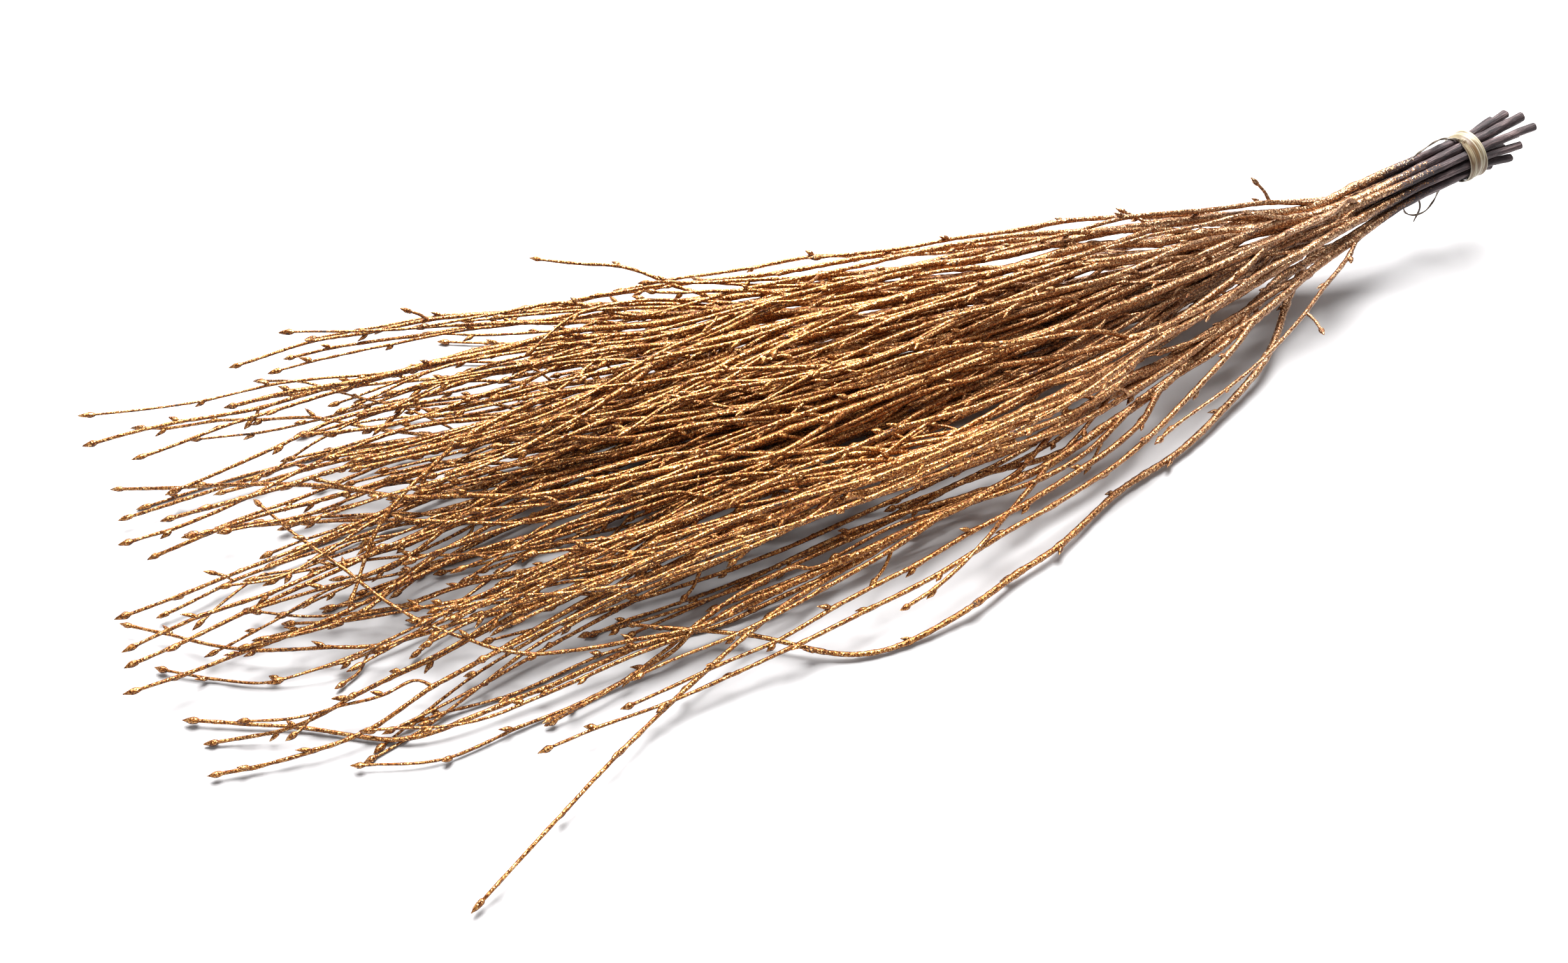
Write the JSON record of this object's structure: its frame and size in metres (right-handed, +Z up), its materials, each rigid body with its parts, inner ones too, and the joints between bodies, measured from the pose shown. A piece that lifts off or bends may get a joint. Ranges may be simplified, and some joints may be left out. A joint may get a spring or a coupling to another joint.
{
  "type": "twig bundle",
  "caption": "Bundle of slender birch twigs with gold glitter, fanned at the tips and bound at the neck with a wound bast strip.",
  "frame": {"origin": "centre of the bundle's footprint, on the surface it lies on", "axes": "+X along the bundle towards the cut ends, +Y across it, +Z up from the surface it lies on"},
  "size_m": [0.6226, 0.2496, 0.0558],
  "materials": {
    "twig": "bare brown bark near the tie, gold glitter from there to the tips",
    "bast": "satin dry bast strip"
  },
  "bodies": {
    "root": {"stem_01": "twig", "stem_01_branch_a": "twig", "stem_01_branch_b": "twig", "stem_01_branch_c": "twig", "stem_02": "twig", "stem_02_branch_a": "twig", "stem_02_branch_b": "twig", "stem_02_branch_c": "twig", "stem_03": "twig", "stem_03_branch_a": "twig", "stem_03_branch_b": "twig", "stem_03_branch_c": "twig", "stem_04": "twig", "stem_04_branch_a": "twig", "stem_04_branch_b": "twig", "stem_04_branch_c": "twig", "stem_05": "twig", "stem_05_branch_a": "twig", "stem_05_branch_b": "twig", "stem_05_branch_c": "twig", "stem_06": "twig", "stem_06_branch_a": "twig", "stem_06_branch_b": "twig", "stem_06_branch_c": "twig", "stem_07": "twig", "stem_07_branch_a": "twig", "stem_07_branch_b": "twig", "stem_07_branch_c": "twig", "stem_08": "twig", "stem_08_branch_a": "twig", "stem_08_branch_b": "twig", "stem_08_branch_c": "twig", "stem_09": "twig", "stem_09_branch_a": "twig", "stem_09_branch_b": "twig", "stem_09_branch_c": "twig", "stem_10": "twig", "stem_10_branch_a": "twig", "stem_10_branch_b": "twig", "stem_10_branch_c": "twig", "stem_11": "twig", "stem_11_branch_a": "twig", "stem_11_branch_b": "twig", "stem_11_branch_c": "twig", "stem_12": "twig", "stem_12_branch_a": "twig", "stem_12_branch_b": "twig", "stem_12_branch_c": "twig", "stem_13": "twig", "stem_13_branch_a": "twig", "stem_13_branch_b": "twig", "stem_13_branch_c": "twig", "stem_14": "twig", "stem_14_branch_a": "twig", "stem_14_branch_b": "twig", "stem_14_branch_c": "twig", "tie_strip": "bast"}
  },
  "joints": []
}
